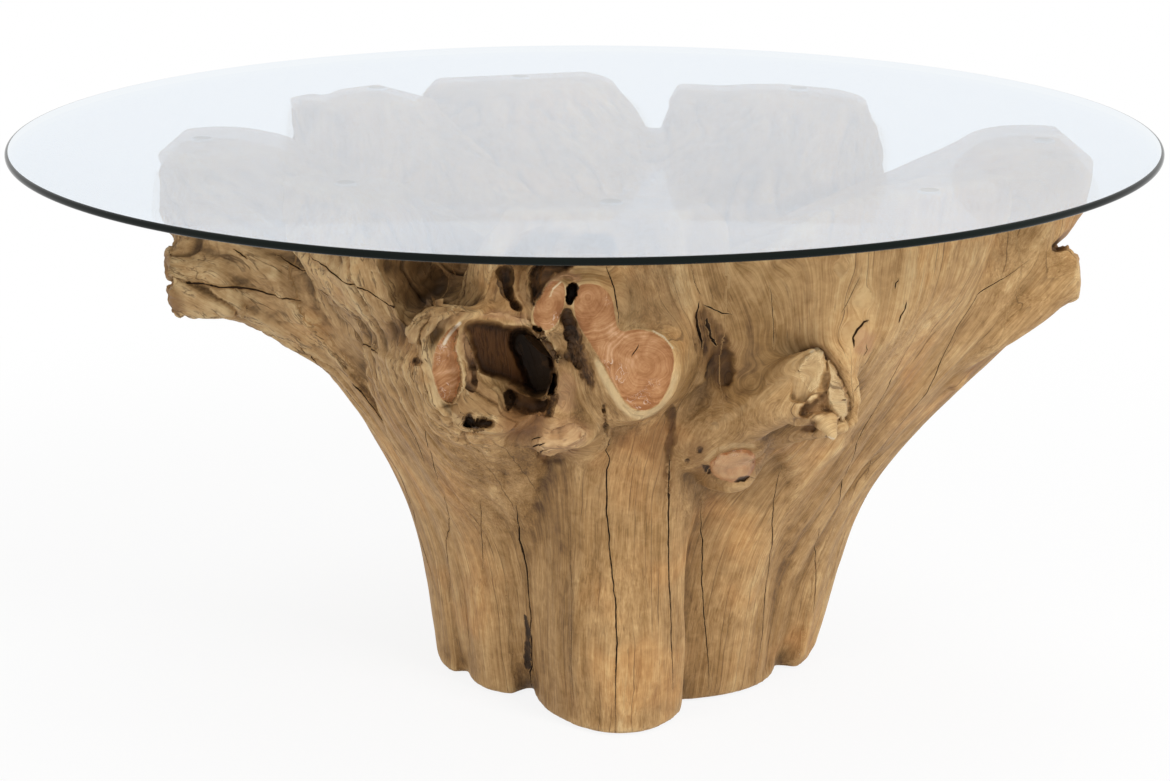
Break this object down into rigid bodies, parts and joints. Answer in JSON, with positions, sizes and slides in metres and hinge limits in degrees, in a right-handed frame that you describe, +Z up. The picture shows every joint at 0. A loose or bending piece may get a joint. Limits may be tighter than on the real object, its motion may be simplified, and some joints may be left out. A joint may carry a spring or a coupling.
{
  "type": "glass top dining table",
  "caption": "Round clear glass dining table on a flared base of natural teak root sections, with sawn knots and stubs; the loose glass rests on clear pads.",
  "frame": {"origin": "on the floor, under the centre of the round glass top", "axes": "+Z up, -Y towards the side with the sawn knots, +X to the right seen from there"},
  "size_m": [1.5998, 1.5998, 0.76],
  "materials": {
    "glass": "clear tempered float glass with a polished round edge",
    "teak": "natural teak root, cleaned and lightly oiled",
    "dowel": "plain turned hardwood",
    "bumper": "clear soft bumper",
    "felt": "dense brown felt"
  },
  "bodies": {
    "base": {"front_root": "teak", "front_root_dowels": "dowel", "glass_pad_front": "bumper", "floor_pad_front": "felt", "front_right_root": "teak", "front_right_root_dowels": "dowel", "glass_pad_front_right": "bumper", "floor_pad_front_right": "felt", "right_root": "teak", "right_root_dowels": "dowel", "glass_pad_right": "bumper", "floor_pad_right": "felt", "back_right_root": "teak", "back_right_root_dowels": "dowel", "glass_pad_back_right": "bumper", "floor_pad_back_right": "felt", "back_root": "teak", "back_root_dowels": "dowel", "glass_pad_back": "bumper", "floor_pad_back": "felt", "back_left_root": "teak", "back_left_root_dowels": "dowel", "glass_pad_back_left": "bumper", "floor_pad_back_left": "felt", "left_root": "teak", "left_root_dowels": "dowel", "glass_pad_left": "bumper", "floor_pad_left": "felt", "front_left_root": "teak", "front_left_root_dowels": "dowel", "glass_pad_front_left": "bumper", "floor_pad_front_left": "felt", "heart_block": "teak"},
    "glass": {"glass_top": "glass"}
  },
  "joints": [
    {"name": "glass_lift", "type": "slide", "parent": "base", "child": "glass", "axis": [0, 0, 1], "range_m": [0, 0.25]}
  ]
}
